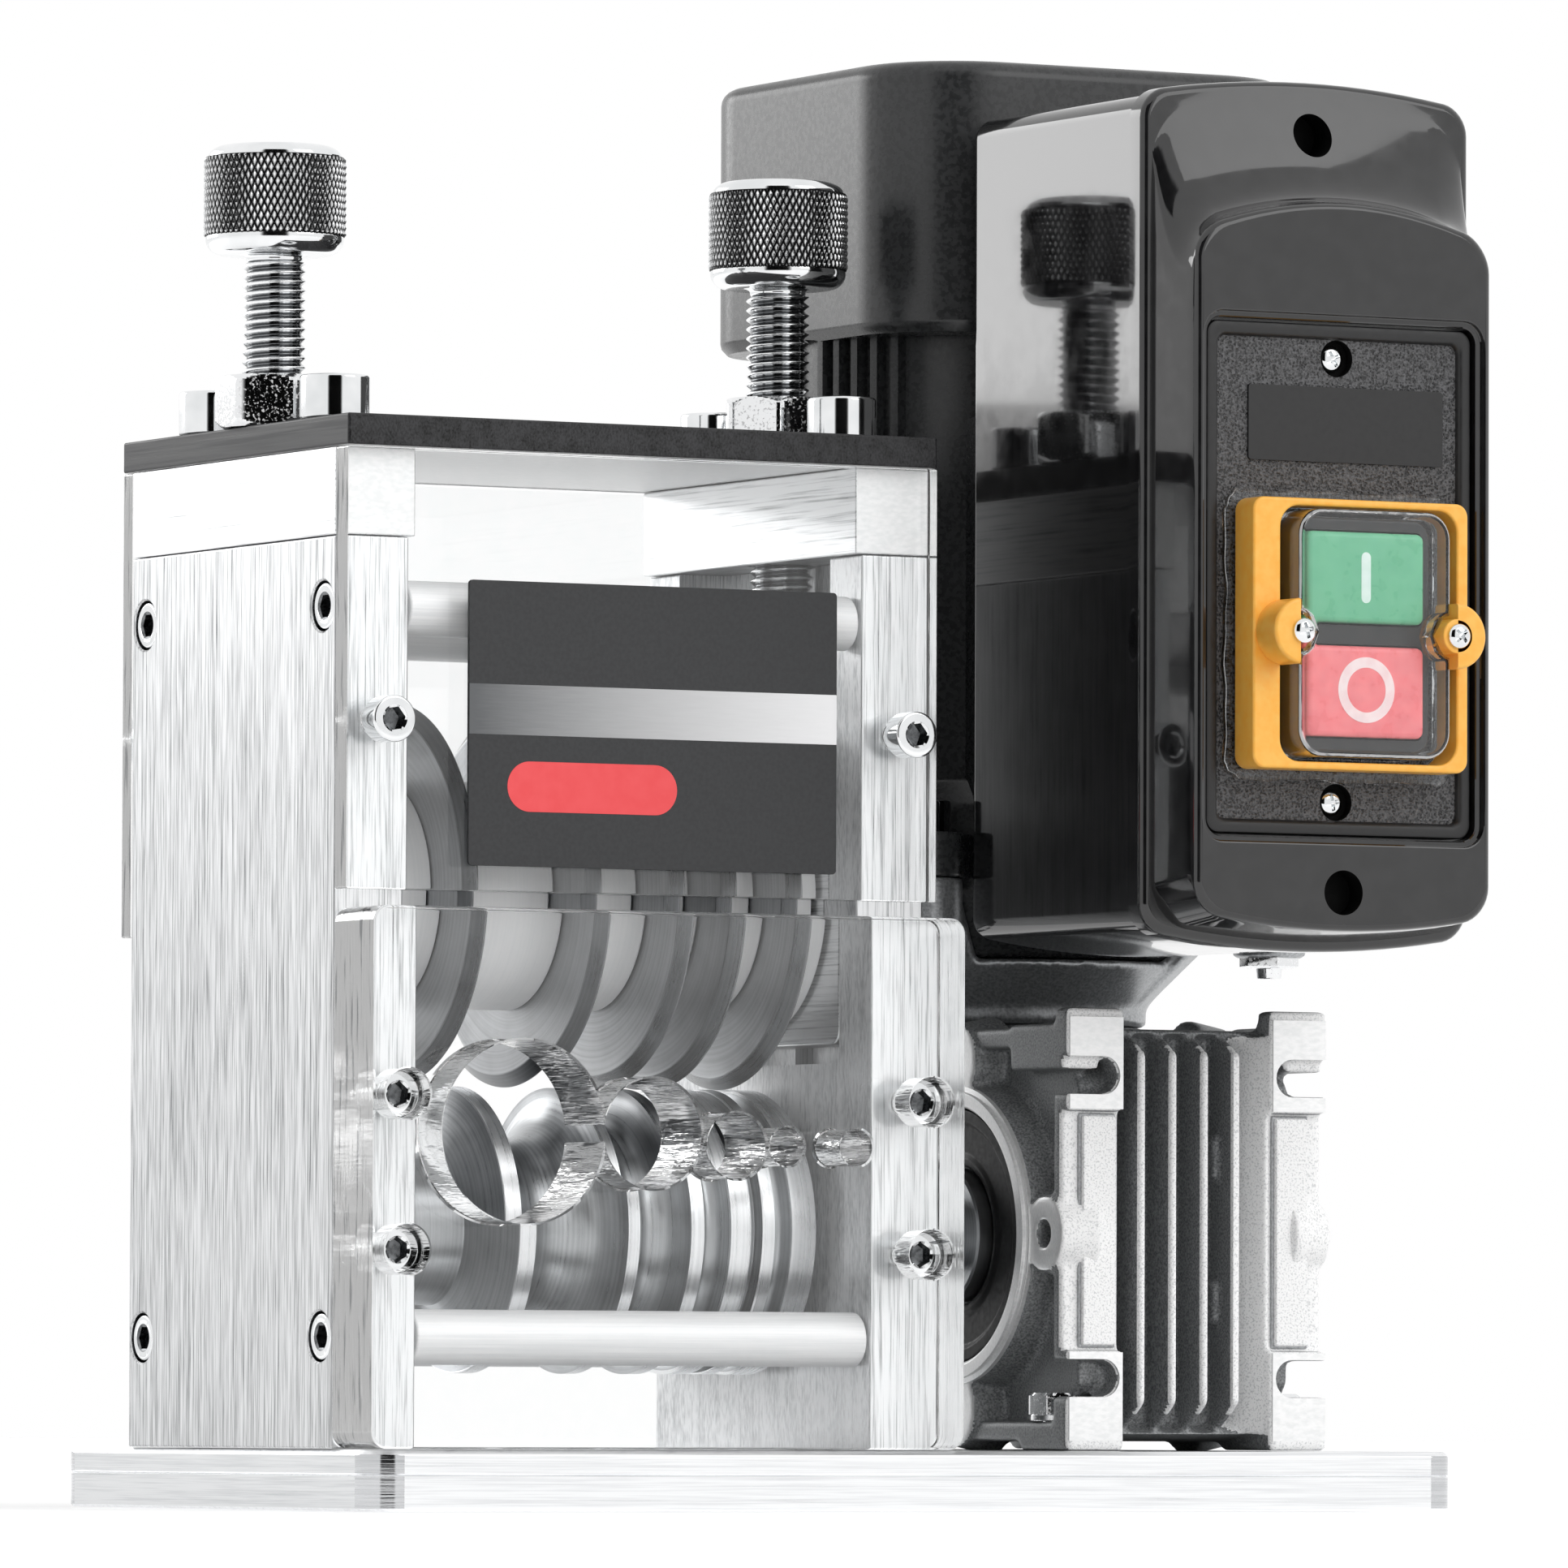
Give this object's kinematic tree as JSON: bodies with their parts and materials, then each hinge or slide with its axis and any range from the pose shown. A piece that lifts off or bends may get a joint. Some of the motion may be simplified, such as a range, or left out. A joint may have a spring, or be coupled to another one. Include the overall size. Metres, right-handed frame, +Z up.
{
  "type": "wire stripping machine",
  "caption": "Bench wire stripper: circular blades over a grooved drive roller in a plate frame, worm gearbox and motor, start and stop switch.",
  "frame": {"origin": "centre of the base plate's underside, on the bench", "axes": "+Z up, +X from the cutting frame towards the gearbox, -Y towards the side where wire is fed in"},
  "size_m": [0.2329, 0.1858, 0.2712],
  "materials": {
    "plate": "brushed",
    "top": "black anodised",
    "polished": "polished, nickel plated",
    "turned": "turned and ground",
    "clear": "clear acrylic",
    "label": "printed film",
    "cast": "die cast",
    "seal": "matte",
    "motor": "satin black",
    "box": "gloss black",
    "switch": "fine texture",
    "orange": "satin",
    "green": "satin",
    "red": "satin"
  },
  "bodies": {
    "frame": {"base_plate": "plate", "control_box_body": "box", "control_box_cover": "box", "fan_cover": "motor", "feed_block": "clear", "feed_block_screw_left_high": "polished", "feed_block_screw_left_low": "polished", "feed_block_screw_right_high": "polished", "feed_block_screw_right_low": "polished", "front_bottom_tie_rod": "polished", "front_guard_screw_left": "polished", "front_guard_screw_right": "polished", "front_top_tie_rod": "polished", "gearbox_foot_bolt_left": "polished", "gearbox_foot_bolt_right": "polished", "gearbox_housing": "cast", "input_flange": "cast", "label_plate": "label", "left_end_block": "plate", "left_side_plate": "plate", "left_thumb_nut": "polished", "motor_body": "motor", "output_seal_left": "seal", "output_seal_right": "seal", "rear_bottom_tie_rod": "polished", "rear_guard": "clear", "rear_top_tie_rod": "polished", "right_end_block": "plate", "right_side_plate": "plate", "right_thumb_nut": "polished", "switch_cover": "clear", "switch_gasket": "clear", "switch_guard": "orange", "switch_housing": "switch", "switch_plate": "switch", "top_plate": "top", "top_screw_left_front": "polished", "top_screw_left_rear": "polished", "top_screw_right_front": "polished", "top_screw_right_rear": "polished", "upper_front_guard": "clear"},
    "cutter": {"cutter_shaft": "turned", "clamp_collar": "turned", "blade_1": "turned", "blade_2": "turned", "blade_3": "turned", "blade_4": "turned", "blade_5": "turned", "spacer_1": "turned", "spacer_2": "turned", "spacer_3": "turned", "spacer_4": "turned"},
    "carriage": {"left_bearing_block": "plate", "right_bearing_block": "plate"},
    "left_thumb_screw": {"left_thumb_screw": "polished"},
    "right_thumb_screw": {"right_thumb_screw": "polished"},
    "drive_roller": {"drive_roller": "turned", "output_sleeve": "turned"},
    "start_button": {"start_button": "green"},
    "stop_button": {"stop_button": "red"}
  },
  "joints": [
    {"name": "carriage_slide", "type": "slide", "parent": "frame", "child": "carriage", "axis": [0, 0, 1], "range_m": [-0.002, 0.01]},
    {"name": "left_thumb_turn", "type": "hinge", "parent": "carriage", "child": "left_thumb_screw", "pos_m": [-0.1058, -0.00645, 0.2], "axis": [0, 0, 1], "range_deg": [-431.4, 2077.1]},
    {"name": "right_thumb_turn", "type": "hinge", "parent": "carriage", "child": "right_thumb_screw", "pos_m": [-0.0007, -0.00645, 0.2], "axis": [0, 0, 1], "range_deg": [-431.4, 2077.1]},
    {"name": "cutter_spin", "type": "hinge", "parent": "carriage", "child": "cutter", "pos_m": [-0.05325, -0.00645, 0.1124], "axis": [1, 0, 0], "continuous": true},
    {"name": "roller_spin", "type": "hinge", "parent": "frame", "child": "drive_roller", "pos_m": [-0.05325, -0.00645, 0.05115], "axis": [1, 0, 0], "continuous": true},
    {"name": "start_press", "type": "slide", "parent": "frame", "child": "start_button", "axis": [0, 1, 0], "range_m": [0, 0.0025], "stiffness_N_per_m": 600, "springref_m": -0.002},
    {"name": "stop_press", "type": "slide", "parent": "frame", "child": "stop_button", "axis": [0, 1, 0], "range_m": [0, 0.0025], "stiffness_N_per_m": 600, "springref_m": -0.002}
  ],
  "couplings": [
    {"joint": "left_thumb_turn", "follows": "carriage_slide", "rad_per_m": 3590.4},
    {"joint": "right_thumb_turn", "follows": "carriage_slide", "rad_per_m": 3590.4}
  ]
}
